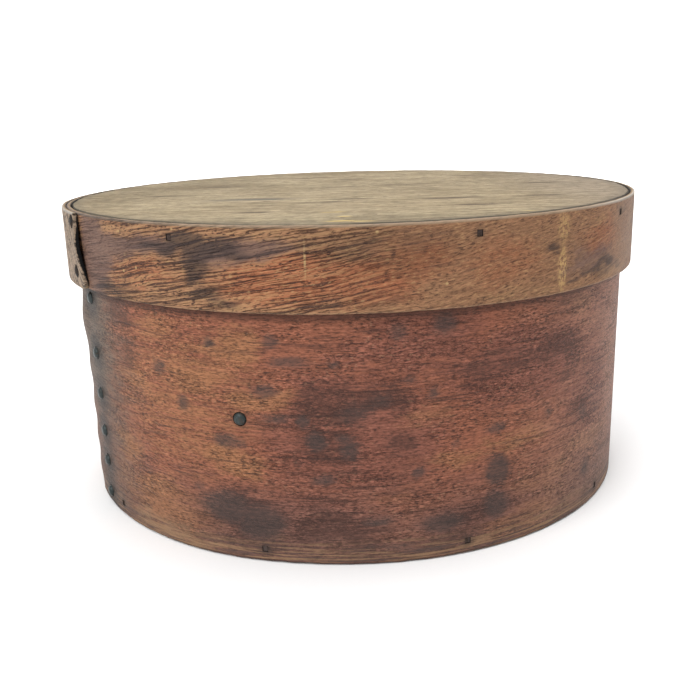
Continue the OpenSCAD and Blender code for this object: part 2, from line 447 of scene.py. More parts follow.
BODY_BRIGHT = [
    (64, 7, 22, 7, 0.9), (-92, 18, 22, 12, 0.7), (-65, 58, 38, 34, 0.6), (-41, 77, 12, 8), (-56, 68, 18, 8),
    (-83, 62, 12, 9), (-32, 60, 12, 4), (-43, 37, 12, 6), (-76, 14, 24, 13), (-93, 33, 12, 7),
    (24, 54, 10, 5, 0.7), (32, 37, 14, 4, 0.8), (58, 39, 16, 5, 0.8), (98, 29, 22, 6, 0.8),
    (72, 20, 18, 10, 0.6), (-75, 82, 14, 8, 0.8), (12, 26, 9, 4, 0.5), (94, 84, 12, 6, 0.6),
    (175, 66, 28, 14, 0.8), (225, 40, 24, 12, 0.7), (300, 74, 26, 10, 0.8), (370, 35, 28, 14, 0.7),
    (430, 70, 24, 12, 0.8), (500, 22, 30, 10, 0.7), (555, 50, 20, 12),
]
BODY_PLUM = [
    (20, 77, 30, 9), (0, 48, 36, 26, 1.2), (62, 67, 42, 15, 1.1), (-22, 16, 42, 14), (100, 50, 22, 26, 0.8),
    (45, 14, 26, 9), (105, 82, 14, 9, 0.5), (35, 30, 16, 10, 0.5), (22, 86, 26, 6, 0.8), (205, 30, 40, 22),
    (260, 70, 30, 16, 0.8), (340, 20, 40, 16), (400, 56, 34, 18), (465, 30, 34, 22, 0.8),
    (540, 36, 30, 18, 0.8), (580, 78, 30, 14, 0.8),
]
print("dark marks:", len(BODY_STAINS + BODY_BLOTS), "coloured marks:", len(BODY_BRIGHT + BODY_PLUM))

# %% Paint the body's marks
BLOT_STRAY = 0.3
BODY_IRON = [(row_tacks, 1, 10 * MM), (lone_tack, 0.5, 4 * MM), (bottom_nails, 0.8, 3 * MM)]


def iron_at(place, band, heads, reach):
    """How near a place is to iron, which blackens the wood round it."""
    along = (place.x - band["front"]) / band["inner_r"]
    best = 0
    for head in heads:
        turn = (along - head["angle"] + math.pi) % (2 * math.pi) - math.pi
        far = math.hypot(turn * band["inner_r"], place.z - head["z"])
        best = max(best, math.exp(-(far / reach) ** 2))
    return best


paint_marks(body_band, body, {"stain": BODY_STAINS, "bright": BODY_BRIGHT, "plum": BODY_PLUM})
paint(body_band, "blot", lambda place: marks_at(place, body, BODY_BLOTS, BLOT_STRAY))
paint(body_band, "iron", lambda place: max(
    strength * iron_at(place, body, heads, reach) for heads, strength, reach in BODY_IRON
))

# %% Paint the lid's marks
LID_STAINS = [
    (-55, 114.2, 8, 2.8, 1.6), (-51, 111, 9, 3.5, 1.3), (-38, 110.5, 11, 3.6, 0.9), (-52, 104, 5, 8, 1.1),
    (-22, 111, 10, 3, 0.6), (-66, 111, 12, 4, 0.9), (-94, 93.5, 18, 3.5, 0.75), (-66, 93, 18, 2.6, 0.5),
    (-84, 98, 7, 2, 0.6), (3, 111, 12, 4, 0.5), (22, 112, 11, 4, 0.5), (-45, 95, 10, 4, 0.8),
    (-12, 95, 16, 3, 0.4), (8, 98, 16, 4, 0.5), (94, 94.5, 9, 1.8, 0.9), (103, 97, 9, 2.2),
    (112, 96.5, 6, 3, 0.9), (84, 94.5, 6, 1.5, 0.6), (72, 106, 4, 1.8, 0.9), (116, 116, 6, 2.5, 0.7),
    (34, 104, 16, 1.6, 0.6), (-40, 113, 12, 4, 0.9), (-14, 114, 10, 3, 0.6), (150, 108, 18, 7),
    (210, 100, 24, 6, 0.9), (262, 113, 16, 5, 1.4), (320, 103, 22, 7), (380, 98, 16, 5, 0.9),
    (430, 112, 20, 5, 1.2), (500, 104, 22, 8, 1.1), (560, 97, 18, 5, 0.9), (585, 112, 14, 5),
]
LID_VEILS = [
    (-106, 103, 14, 20), (-92, 109, 16, 6), (-74, 111.5, 18, 4.5), (-44, 109, 14, 5, 0.7),
    (94, 100, 22, 7, 0.6), (-30, 112, 16, 4, 0.8), (240, 110, 40, 8, 0.9), (440, 106, 50, 9, 0.9),
    (560, 104, 30, 10, 0.9),
]
LID_RED = [
    (-22, 102, 26, 10), (5, 101, 20, 9, 0.9), (20, 106, 20, 9, 0.6), (-75, 102, 20, 6, 0.6),
    (50, 104, 20, 12, 0.5), (100, 106, 18, 10, 0.6), (-95, 100, 12, 6, 0.5), (180, 105, 34, 10),
    (290, 106, 40, 12), (370, 106, 34, 12), (470, 103, 38, 12), (545, 108, 30, 10),
]
LID_PALE = [
    (75.5, 107, 3, 6, 0.5), (-90, 116.5, 14, 2, 0.6), (-25, 116.5, 16, 2, 0.5), (-42, 93.5, 30, 3.2, 0.4),
    (60, 92.5, 36, 3, 0.5), (110, 94, 18, 2.5, 0.7), (-85, 93, 22, 2.4, 0.4), (95, 113, 9, 2.5, 0.6),
    (215, 116, 22, 2.4, 0.7), (300, 92.5, 44, 3, 0.8), (420, 93, 44, 3, 0.7), (520, 116, 22, 2.4, 0.7),
]
paint_marks(lid_band, lid, {"stain": LID_STAINS, "veil": LID_VEILS, "red": LID_RED, "pale": LID_PALE})
TAB_WHOLE, TAB_FADE = 12 * MM, 45 * MM
LID_IRON, TACK_STAIN, NAIL_STAIN = 0.7, 3.5 * MM, 3 * MM
paint(lid_band, "tab", lambda place: 1 - ease((from_end(lid, place) - TAB_WHOLE) / TAB_FADE))
paint(lid_band, "iron", lambda place: LID_IRON * max(
    iron_at(place, lid, lid_tacks, TACK_STAIN) * on_top(lid, place),
    iron_at(place, lid, lid_nails, NAIL_STAIN),
))

# %% Bend both strips
bend_round(body_band, body)
bend_round(lid_band, lid)
for piece in (body_band, lid_band):
    print(piece.name, "is bent to", [round(side / MM, 1) for side in piece.dimensions], "mm")

# %% [markdown]
# Tacks
#
# The laps are held by small iron tacks with flat domed heads. Their tips were bent over on the inside.
# One tack of each kind is modelled on the origin with its head up: a cylinder is the rim of the head,
# three insets raise the dome, and the underside is inset and extruded into the shank. Copies go to the
# places that the frame gave.

# %% Sizes of a tack
TACK_RIM = 0.5 * MM
SHANK = 1.4 * MM
TIP_THICK = 0.5 * MM
TIP_LONG = 3.3 * MM
DOME_STEPS = [(0.25 * MM, 0.49), (0.5 * MM, 0.36), (0.7 * MM, 0.15)]
BENT_TIP = (1, 0.5, 0.6)
SHARP_TIP = (0.4, 0.4, 1)
print("a tack is", round(TACK_HEAD / MM, 1), "mm across, and its shank", round(SHANK / MM, 1), "mm")

# %% Helpers for faces
SIDEWAYS, STRAIGHT, LEVEL = 0.8, 0.9, 0.98


def pick_faces(piece, wanted):
    """In edit mode, selects just the faces whose centre and normal pass a test."""
    bpy.ops.object.mode_set(mode="OBJECT")
    for part in (piece.data.vertices, piece.data.edges):
        for element in part:
            element.select = False
    for face in piece.data.polygons:
        face.select = wanted(face.center, face.normal)
    bpy.ops.object.mode_set(mode="EDIT")
    bpy.ops.mesh.select_mode(type="FACE")


def extrude(distance):
    """Extrudes the selected faces by a vector."""
    bpy.ops.mesh.extrude_region_move(TRANSFORM_OT_translate={"value": distance})


def facing_up(centre, normal):
    return normal.z > STRAIGHT


def facing_down(centre, normal):
    return normal.z < -STRAIGHT


# %% Model a tack


def model_tack(length, clinched, dome):
    """A tack with its head round the origin, its shank down along -Z, and its tip bent over or not."""
    rim = {"vertices": 18, "radius": TACK_HEAD / 2, "depth": TACK_RIM}
    bpy.ops.mesh.primitive_cylinder_add(location=(0, 0, -TACK_PROUD - TACK_RIM / 2), **rim)
    piece = made("tack")
    pick_faces(piece, facing_up)
    for inwards, share in DOME_STEPS:
        bpy.ops.mesh.inset(thickness=inwards, depth=share * dome)
    pick_faces(piece, facing_down)
    bpy.ops.mesh.inset(thickness=(TACK_HEAD - SHANK) / 2, depth=0)
    straight = length - TACK_PROUD - TACK_RIM - (TIP_THICK if clinched else 0)
    extrude((0, 0, -straight))
    if clinched:
        extrude((0, 0, -TIP_THICK))
        pick_faces(piece, lambda centre, normal: centre.z < TIP_THICK - length and normal.x > SIDEWAYS)
        extrude((TIP_LONG, 0, 0))
        bpy.ops.transform.resize(value=BENT_TIP)
    else:
        bpy.ops.transform.resize(value=SHARP_TIP)
    bpy.ops.object.mode_set(mode="OBJECT")
    return piece


# %% Copy fasteners to their places


def set_in_place(template, name, places):
    """Copies a fastener to every place, its head outwards, and joins the copies into one piece."""
    copies = []
    for place in places:
        copy = template.copy()
        copy.data = template.data.copy()
        bpy.context.scene.collection.objects.link(copy)
        turn = Matrix.Rotation(place["angle"], 4, "Z") @ Matrix.Rotation(math.pi / 2, 4, "X")
        outwards = Vector((math.sin(place["angle"]), -math.cos(place["angle"]), 0))
        at = outwards * place["reach"] + Vector((0, 0, place["z"]))
        copy.matrix_world = Matrix.Translation(at) @ turn
        copies.append(copy)
    return join(copies, name)


def join(pieces, name):
    """Joins pieces into one, with its place in its mesh."""
    only(pieces[0])
    for piece in pieces:
        piece.select_set(True)
    bpy.ops.object.transform_apply(location=True, rotation=True, scale=True)
    if len(pieces) > 1:
        bpy.ops.object.join()
    piece = bpy.context.object
    piece.name = piece.data.name = name
    return piece


def discard(*pieces):
    """Deletes templates and cutters that have done their work."""
    for piece in pieces:
        bpy.data.objects.remove(piece)


def in_board(place, board):
    """True where a fastener stands at the height of a board and so goes into it."""
    low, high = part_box(board)
    return low.z < place["z"] < high.z


# %% Copy the tacks
INTO_BOARD = 6 * MM
FLUSH_DOME = TACK_PROUD


def tack_kind(place, band, board, dome):
    """A tack's length to a micrometre, whether its tip is bent inside, and its dome, low under the lid."""
    bent = not in_board(place, board)
    length = place["reach"] - band["inner_r"] + (0 if bent else INTO_BOARD)
    under_lid = band is body and place["z"] > lid["foot"]
    return round(length, 6), bent, FLUSH_DOME if under_lid else dome


def tack_group(name, band, board, places, dome):
    """All tacks of one node. Each kind is modelled once."""
    kinds = {}
    for place in places:
        kinds.setdefault(tack_kind(place, band, board, dome), []).append(place)
    groups = []
    for kind, alike in kinds.items():
        template = model_tack(*kind)
        groups.append(set_in_place(template, name, alike))
        discard(template)
    print(name, "tacks:", len(places), "kinds:", len(kinds))
    return join(groups, name)


row = tack_group("row_tacks", body, "bottom_board", row_tacks, dome=1.25 * MM)
lone = tack_group("lone_tack", body, "bottom_board", lone_tack, dome=1.1 * MM)
tab_pair = tack_group("lid_tab_tacks", lid, "lid_top_board", lid_tacks, dome=0.6 * MM)

# %% [markdown]
# Cut nails
#
# Square cut nails go through the hoops into the edges of the boards. Each is a tapered iron prism whose
# head was set just below the wood. A cube at the nail's size is the start: its lower end is narrowed, and
# the rim of its head is bevelled and dished by the hammer.

# %% Model a nail and copy it
NAIL_WIDE = 2.0 * MM
NAIL_TALL = 2.1 * MM
NAIL_LONG = 17 * MM
NAIL_POINT = 0.43
HEAD_WEAR = 0.22 * MM
HEAD_MIDDLE = 0.1 * MM
DISH_RIM, DISH_DEEP = 0.35 * MM, 0.06 * MM


def model_nail():
    """A cut nail whose head is on the origin, with its point down along -Z."""
    bpy.ops.mesh.primitive_cube_add(size=1, location=(0, 0, -NAIL_LONG / 2))
    piece = made("nail", (NAIL_WIDE, NAIL_TALL, NAIL_LONG))
    pick_faces(piece, facing_down)
    bpy.ops.transform.resize(value=(1, NAIL_POINT, 1))
    pick_faces(piece, facing_up)
    bpy.ops.mesh.bevel(offset=HEAD_WEAR, segments=2, affect="EDGES")
    pick_faces(piece, lambda centre, normal: normal.z > LEVEL and centre.xy.length < HEAD_MIDDLE)
    bpy.ops.mesh.inset(thickness=DISH_RIM, depth=-DISH_DEEP)
    bpy.ops.object.mode_set(mode="OBJECT")
    return piece


nail = model_nail()
lid_nail_set = set_in_place(nail, "lid_edge_nails", lid_nails)
bottom_nail_set = set_in_place(nail, "foot_nails", bottom_nails)
discard(nail)
print("nails:", len(lid_nail_set.data.polygons), "and", len(bottom_nail_set.data.polygons), "faces")

# %% [markdown]
# The boards
#
# The lid's top and the box's bottom are sawn boards, cut round and chamfered. A filled circle is extruded
# to the board's thickness and both rims are bevelled. The lid's rim is chipped by years of opening, so a
# cloud texture moves it in and down, never out.

# %% Make the boards
BOARD_EDGE = 0.6 * MM
SWOLLEN = 0.25 * MM
CHIPPED_HIGH = 3 * MM
RIM_WIDE = 2.2 * MM
RIM_RINGS = (1.5 * MM, 3 * MM)
CHIP_CLOUDS = bpy.data.textures.new("chip_clouds", "CLOUDS")
CHIP_CLOUDS.noise_scale = 9 * MM
CHIP_CLOUDS.noise_depth = 4
CHIP_CLOUDS.contrast = 1.8


def round_board(name, node, points, chips):
    """A round board that fills its hoop, with bevelled rims, chipped along the top by up to a given depth."""
    low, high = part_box(node)
    radius = half_width(node) + SWOLLEN
    disc = {"vertices": points, "radius": radius, "fill_type": "NGON"}
    bpy.ops.mesh.primitive_circle_add(location=(0, 0, low.z), **disc)
    piece = made(name)
    bpy.ops.object.mode_set(mode="EDIT")
    bpy.ops.mesh.select_all(action="SELECT")
    extrude((0, 0, high.z - low.z))
    bpy.ops.mesh.select_all(action="SELECT")
    bpy.ops.mesh.normals_make_consistent(inside=False)
    pick_faces(piece, lambda centre, normal: abs(normal.z) > STRAIGHT)
    bpy.ops.mesh.bevel(offset=BOARD_EDGE, segments=3, affect="EDGES")
    pick_faces(piece, lambda centre, normal: abs(normal.z) > LEVEL)
    for wide in RIM_RINGS:
        bpy.ops.mesh.inset(thickness=wide, depth=0)
    bpy.ops.object.mode_set(mode="OBJECT")

    def chipped(place):
        """Most at the rim's upper edge."""
        outer = 1 - (radius - math.hypot(place.x, place.y)) / RIM_WIDE
        return outer * ease(1 - (high.z - place.z) / CHIPPED_HIGH)

    push(piece, "NORMAL", -chips, chipped, CHIP_CLOUDS)
    print(name, "is", round(2 * radius / MM, 1), "mm across and", round((high.z - low.z) / MM, 1), "mm thick")
    return piece


top_board = round_board("lid_board", "lid_top_board", points=720, chips=0.9 * MM)
bottom = round_board("foot_board", "bottom_board", points=360, chips=0.4 * MM)

# %% [markdown]
# Finishes as expressions
#
# A finish is a graph of nodes, and most of its nodes only do sums. A small class wraps a socket, so the
# sums are written as Python expressions and the Math nodes add themselves. One method adds any other
# node. Lengths in the finishes are millimetres on the flat strip, because grain follows the strip round
# the bend.

# %% A class for sums


class Value:
    """A socket of a finish, with the operators that finish sums need."""

    def __init__(self, finish, socket):
        self.finish = finish
        self.socket = socket

    def sum(self, operation, first, second):
        return self.finish.node("ShaderNodeMath", {"operation": operation}, {0: first, 1: second})

    def __add__(self, other):
        return self.sum("ADD", self, other)

    def __radd__(self, other):
        return self.sum("ADD", other, self)

    def __sub__(self, other):
        return self.sum("SUBTRACT", self, other)

    def __rsub__(self, other):
        return self.sum("SUBTRACT", other, self)

    def __mul__(self, other):
        return self.sum("MULTIPLY", self, other)

    def __rmul__(self, other):
        return self.sum("MULTIPLY", other, self)


# %% A class for nodes and places


class Graph:
    """A material whose nodes are added by expressions."""

    def __init__(self, name):
        self.material = bpy.data.materials.new(name)
        self.material.use_nodes = True
        self.tree = self.material.node_tree
        self.tree.nodes.clear()

    def node(self, kind, settings=None, sockets=None, output=0):
        """Adds a node: its settings first, then the values or links of its sockets."""
        node = self.tree.nodes.new(kind)
        for name, value in (settings or {}).items():
            setattr(node, name, value)
        for name, value in (sockets or {}).items():
            if isinstance(value, Value):
                self.tree.links.new(value.socket, node.inputs[name])
            else:
                node.inputs[name].default_value = value
        return Value(self, node.outputs[output]) if node.outputs else None

    def painted(self, name):
        """A number painted on the piece."""
        return self.node("ShaderNodeAttribute", {"attribute_name": name}, output="Fac")

    def strip_place(self):
        """The place on the flat strip in millimetres: along from the front, depth, height."""
        flat = self.node("ShaderNodeAttribute", {"attribute_name": "flat"}, output="Vector")
        return self.times(flat, (1 / MM, 1 / MM, 1 / MM))

    def board_place(self):
        """The place on a board in millimetres."""
        own = self.node("ShaderNodeTexCoord", output="Object")
        return self.times(own, (1 / MM, 1 / MM, 1 / MM))

    def times(self, vector, factors):
        return self.node("ShaderNodeVectorMath", {"operation": "MULTIPLY"}, {0: vector, 1: factors})

    def plus(self, vector, other):
        return self.node("ShaderNodeVectorMath", {"operation": "ADD"}, {0: vector, 1: other})

    def part(self, vector, axis):
        """One axis of a vector."""
        return self.node("ShaderNodeSeparateXYZ", sockets={0: vector}, output=axis)

    def vector(self, x, y, z):
        return self.node("ShaderNodeCombineXYZ", sockets={0: x, 1: y, 2: z})


# %% [markdown]
# Patterns and colours
#
# Two more classes carry on from the one before. The first has the patterns: noise, cells, soft steps and
# spots, with sizes in millimetres. The second has the colours: it mixes, shades and lays one colour over
# another, and it ends the finish with its shader.

# %% A class for patterns


class Patterns(Graph):
    """Patterns that a finish is made from."""

    def noise(self, place, size, detail=3.0, rough=0.55, twist=0.0, output=0):
        """Noise whose lumps are about the given size in millimetres along each axis."""
        scaled = self.times(place, tuple(1 / side for side in size))
        sockets = {"Vector": scaled, "Scale": 1.0, "Detail": detail, "Roughness": rough, "Distortion": twist}
        return self.node("ShaderNodeTexNoise", sockets=sockets, output=output)

    def cells(self, place, size, feature="F1", output=0):
        """Voronoi cells of about the given size in millimetres."""
        scaled = self.times(place, tuple(1 / side for side in size))
        sockets = {"Vector": scaled, "Scale": 1.0}
        return self.node("ShaderNodeTexVoronoi", {"feature": feature}, sockets, output)

    def step(self, value, zero, one):
        """A soft step that is 0 at one number and 1 at the other."""
        if zero > one:
            return 1 - self.step(value, one, zero)
        sockets = {"Value": value, "From Min": zero, "From Max": one}
        return self.node("ShaderNodeMapRange", {"interpolation_type": "SMOOTHSTEP"}, sockets)

    def spot(self, place, centre, half):
        """1 in the middle of an oval spot and 0 outside it."""
        away = self.plus(place, tuple(-side for side in centre))
        scaled = self.times(away, tuple(1 / side for side in half))
        far = self.node("ShaderNodeVectorMath", {"operation": "LENGTH"}, {0: scaled}, "Value")
        return 1 - self.step(far, 0.4, 1.2)

    def most(self, first, second):
        return self.node("ShaderNodeMath", {"operation": "MAXIMUM"}, {0: first, 1: second})


# %% A class for colours


def colour(value):
    """A colour as a socket takes it."""
    return value if isinstance(value, Value) else (*value, 1.0)


class Finish(Patterns):
    """Colours, laid over one another on a base, and the shader at the end."""

    base = None

    def mix(self, factor, first, second, blend="MIX"):
        """Mixes two colours."""
        settings = {"data_type": "RGBA", "blend_type": blend}
        return self.node("ShaderNodeMix", settings, {0: factor, 6: colour(first), 7: colour(second)}, 2)

    def shade(self, tint, amount):
        """Multiplies a colour by a number."""
        grey = self.vector(amount, amount, amount)
        return self.mix(1.0, tint, grey, "MULTIPLY")

    def lay(self, factor, tint):
        """Lays a colour over the base so far."""
        self.base = self.mix(factor, self.base, tint)

    def shade_by(self, amount):
        """Darkens or lightens the base so far."""
        self.base = self.shade(self.base, amount)

    def finish(self, base, rough, bump, depth, **more):
        """Ends the finish with its shader, whose surface is raised by bump over a depth."""
        normal = self.node("ShaderNodeBump", sockets={"Height": bump, "Distance": depth, "Strength": 1.0})
        values = {"Base Color": base, "Roughness": rough, "Normal": normal, **more}
        shader = self.node("ShaderNodeBsdfPrincipled", sockets=values)
        self.node("ShaderNodeOutputMaterial", sockets={"Surface": shader})
        return self.material


# %% [markdown]
# Bare wood
#
# Inside the hoops and under the boards the wood was never varnished. It has gone tan with age and shows
# long fine fibres with a few darker streaks. The same helper colours every bare face, whatever way its
# grain runs.

# %% Bare wood
BARE_DARK = (0.150, 0.092, 0.050)
BARE_TAN = (0.300, 0.205, 0.115)
EVERYWHERE = 1000.0
HOOP_GRAIN = (30, EVERYWHERE, 0.9)
DULL = {"Specular IOR Level": 0.12}
CHALKY = {"Specular IOR Level": 0.06}


def bare_wood(wood, place, long, across, through):
    """Colour and fibre of unvarnished wood whose grain is long one way and fine across."""
    broad = wood.noise(place, (long * 4, across * 22, through * 22), 3.0)
    fibre = wood.noise(place, (long, across, through), 4.0, 0.62)
    tint = wood.mix(wood.step(broad * 0.6 + fibre * 0.5, 0.36, 0.72), BARE_DARK, BARE_TAN)
    return wood.shade(tint, 0.72 + 0.5 * fibre), fibre


# %% [markdown]
# The body's varnish
#
# The outside was stained red-brown and varnished. It was rubbed to orange by hands, went plum-dark where
# wet got in, and gathered dust low down and round the lap. One long function could build such a finish,
# but it would be hard to follow. Here each layer is a short function that lays its colours over those
# before it, in the order in which they came about. The noises that several layers share are made first
# and kept on the finish.

# %% Patterns of the body's finish
ORANGE = (0.212, 0.094, 0.046)
RED_BROWN = (0.184, 0.068, 0.040)
PLUM_BROWN = (0.130, 0.051, 0.039)
# The dark of stains, fibres and flecks, also used for the painted shade under the lid's edge.
STAIN_AND_SHADE = (0.054, 0.029, 0.024)
BLOT_GREY = (0.053, 0.043, 0.040)
DUST = (0.086, 0.064, 0.057)
EDGE_DUST = (0.076, 0.060, 0.044)
WORN_TAN = (0.285, 0.172, 0.098)
PALE_BROWN = (0.228, 0.128, 0.090)
# Black of iron stains, also used for the painted shade in the crevices round the lid's board.
IRON_BLACK_AND_SHADE = (0.030, 0.028, 0.026)


def body_patterns():
    """Starts the body's finish with the places and noises that its layers share."""
    wood = Finish("body_varnish")
    wood.place = wood.strip_place()
    wood.along, wood.depth, wood.height = [wood.part(wood.place, axis) for axis in "XYZ"]
    wood.ragged = wood.noise(wood.place, (11, 20, 3.8), 6.0, 0.7) - 0.5
    wood.streaky = wood.noise(wood.place, (22, 20, 1.5), 4.0, 0.68) - 0.5
    wood.speckle = wood.noise(wood.place, (1.7, 9, 0.95), 3.0, 0.75) - 0.5
    wood.fibre = wood.noise(wood.place, (13, 9, 0.95), 4.0, 0.7) - 0.5
    wood.fine = wood.noise(wood.place, (1.9, 9, 0.55), 2.0, 0.65) - 0.5
    wood.zone = wood.step(wood.noise(wood.place, (24, 30, 9), 3.0), 0.42, 0.6)
    wood.bands = wood.step(wood.noise(wood.place, (60, 30, 7), 3.0, 0.6), 0.42, 0.58)
    return wood


# %% Browns of the body


def body_browns(wood):
    """Red-brown, rubbed to orange or gone plum where it was painted so, with dust low down and at the lap."""
    uneven = 0.8 * wood.ragged + 1.8 * wood.streaky + 1.2 * wood.speckle
    wood.bright = wood.step(wood.painted("bright") + uneven, 0.1, 1.0)
    wood.plum = wood.step(wood.painted("plum") + uneven, 0.15, 0.95)
    wood.stain = wood.step(wood.painted("stain") + uneven, 0.18, 0.74)
    wood.base = wood.mix(wood.bright, RED_BROWN, ORANGE)
    # Paler brown towards the right.
    wood.lay(wood.step(wood.along + 90 * wood.ragged, 40, 110) * 0.5, PALE_BROWN)
    wood.lay(wood.plum * (1 - 0.6 * wood.bright) * 0.62, PLUM_BROWN)
    lower_half = 1 - wood.step(wood.height + 30 * wood.ragged, 8, 40)
    wood.lay(lower_half * (0.4 - 0.25 * wood.bright), DUST)
    lap_end = 1 - wood.step(wood.along + 45 * wood.ragged, -114, -76)
    wood.lay(lap_end * (0.55 + 0.33 * wood.step(wood.height, 20, 60)), EDGE_DUST)


# %% [markdown]
# Fibres and cracked varnish
#
# Noise stretched along the strip draws the fibres: dark lines that come in bands, and short flecks. Old
# varnish also crazes into cells under a millimetre across. Voronoi cells do the same: their edges are the
# dark cracks, and the colour that each cell brings along gives it a tone of its own.

# %% Fibres and cracks of the body
CRAZE_CELL = (1.5, 9, 0.7)


def body_fibres(wood):
    """Long fibres, dark lines in bands, and short flecks."""
    wood.shade_by(1.14 + 1.5 * wood.fibre - (1.8 + 1.0 * wood.zone) * wood.fine)
    wood.line = wood.step(wood.noise(wood.place, (24, 9, 1.1), 4.0, 0.66), 0.55, 0.64)
    wood.lay(wood.line * (0.2 + 0.5 * wood.bands), STAIN_AND_SHADE)
    wood.fleck = wood.step(wood.fine + 0.3 * wood.speckle, 0.04, 0.16)
    wood.lay(wood.fleck * (0.35 + 0.3 * wood.zone), STAIN_AND_SHADE)


def body_cracks(wood):
    """Dark cracks between the cells of the varnish, and a tone for each cell."""
    wobble = wood.times(wood.noise(wood.place, (2, 9, 1), 2.0, output="Color"), (1.0, 0, 0.5))
    crazed = wood.plus(wood.place, wobble)
    edge = wood.cells(crazed, CRAZE_CELL, "DISTANCE_TO_EDGE")
    wood.own_tone = wood.part(wood.cells(crazed, CRAZE_CELL, "F1", "Color"), "X")
    wood.crack = (1 - wood.step(edge, 0.02, 0.22)) * wood.most(wood.zone * 0.6, wood.plum * wood.bands)
    wood.shade_by(1.12 - 0.45 * wood.crack + 0.5 * (wood.own_tone - 0.5) * wood.zone)


# %% [markdown]
# Marks and the foot
#
# Now the painted marks are laid on: stains that soaked in, small grey blots like bruises, and the black
# that iron gives to wood. Just under the lid's edge, a painted shade darkens the body. The foot was
# dragged over shelves, so it is dusty, and streaks of straw-coloured bare wood show there, most of all
# at the left.

# %% Marks and foot of the body
LID_FOOT = lid["foot"] / MM
# Heights of the painted shade on the body just under the lid's edge.
UNDER_LID_SHADE_FROM, UNDER_LID_SHADE_FULL = LID_FOOT - 4, LID_FOOT - 1.3


def body_marks(wood):
    """Stains, glints of bare wood, blots, and a painted shade just under the lid's edge."""
    wood.lay(wood.stain * (0.7 - 0.3 * wood.own_tone), STAIN_AND_SHADE)
    glint = wood.step(wood.speckle - 0.5 * wood.fine, 0.1, 0.22) * (0.2 + 0.8 * wood.zone)
    wood.lay(glint * (1 - 0.5 * wood.stain) * 0.5, WORN_TAN)
    blot = wood.step(wood.painted("blot") + 0.7 * wood.ragged + 0.4 * wood.speckle, 0.1, 0.85)
    wood.lay(blot * 0.64, BLOT_GREY)
    # Painted shade: the body darkens just under the lid's edge.
    wood.lay(wood.step(wood.height + 3 * wood.ragged, UNDER_LID_SHADE_FROM, UNDER_LID_SHADE_FULL) * 0.6, STAIN_AND_SHADE)


def body_foot(wood):
    """Dust and scuffs along the foot, straw-coloured at the left, and a dark lower edge."""
    scuff = wood.noise(wood.place, (34, 20, 1.0), 4.0, 0.62)
    low_down = 1 - wood.step(wood.height + 14 * wood.ragged, 1.0, 12.0)
    wood.lay(low_down * (0.2 + 0.5 * wood.step(scuff, 0.52, 0.42)), DUST)
    wood.lay(low_down * wood.step(scuff, 0.49, 0.58) * (0.95 - 0.3 * wood.stain), WORN_TAN)
    foot_left = wood.step(wood.along, -100, -88) * wood.step(wood.along, -48, -66)
    straw = foot_left * (1 - wood.step(wood.height + 8 * wood.ragged, 4.0, 11.0))
    wood.lay(straw * wood.step(wood.streaky, -0.08, 0.05) * 0.8, WORN_TAN)
    wood.lay((1 - wood.step(wood.height, 0.3, 1.1)) * 0.6, STAIN_AND_SHADE)


def iron_marks(wood, uneven, strength):
    """Black wood round the iron."""
    wood.lay(wood.step(wood.painted("iron") + uneven * wood.ragged, 0.1, 1.0) * strength, IRON_BLACK_AND_SHADE)


# %% Finish of the body's hoop


def body_finish():
    """All the layers outside and bare wood inside."""
    wood = body_patterns()
    for layer in (body_browns, body_fibres, body_cracks, body_marks, body_foot):
        layer(wood)
    iron_marks(wood, uneven=0.6, strength=0.8)
    outside = 1 - wood.step(wood.depth, -1.25, -0.5)
    wood.base = wood.mix(outside, bare_wood(wood, wood.place, *HOOP_GRAIN)[0], wood.base)
    rough = 0.72 - outside * (0.2 - 0.3 * wood.ragged)
    relief = wood.fibre * 0.6 - wood.fleck * 0.3 - wood.crack * 0.35 - wood.line * 0.3
    return wood.finish(wood.base, rough, relief, depth=0.25 * MM, **DULL)


body_varnish = body_finish()
print(body_varnish.name, "has", len(body_varnish.node_tree.nodes), "nodes")

# %% [markdown]
# The lid's wood
#
# The lid is of another wood, a coarse one with open grain that runs uphill to the right, so the place is
# sheared before the long noise reads it. Its layers are laid in the same way as the body's. The middle is
# reddest, and the open grain shows most at the left.

# %% Patterns of the lid's finish
LID_TAN = (0.268, 0.138, 0.074)
LID_RED_BROWN = (0.288, 0.104, 0.051)
OPEN_GRAIN = (0.058, 0.030, 0.024)
RIDGE_GOLD_AND_HIGHLIGHT = (0.390, 0.235, 0.112)
GRAIN_SLOPE = 0.17


def lid_patterns():
    """Starts the lid's finish with the places and noises that its layers share."""
    wood = Finish("lid_wood")
    wood.place = wood.strip_place()
    wood.along, wood.depth, wood.height = [wood.part(wood.place, axis) for axis in "XYZ"]
    wood.face = wood.vector(wood.along, 0.0, wood.height)
    waves = wood.noise(wood.place, (36, 30, 14), 2.0) * 4
    wood.grain = wood.vector(wood.along, wood.depth, wood.height - wood.along * GRAIN_SLOPE + waves)
    wood.ragged = wood.noise(wood.grain, (9, 20, 2.4), 6.0, 0.7) - 0.5
    wood.fibre = wood.noise(wood.grain, (14, 9, 0.62), 4.0, 0.68) - 0.5
    wood.fine = wood.noise(wood.grain, (2.2, 9, 0.42), 2.0, 0.6) - 0.5
    wood.groove = wood.noise(wood.grain, (22, 9, 0.66), 5.0, 0.66, 0.15)
    return wood


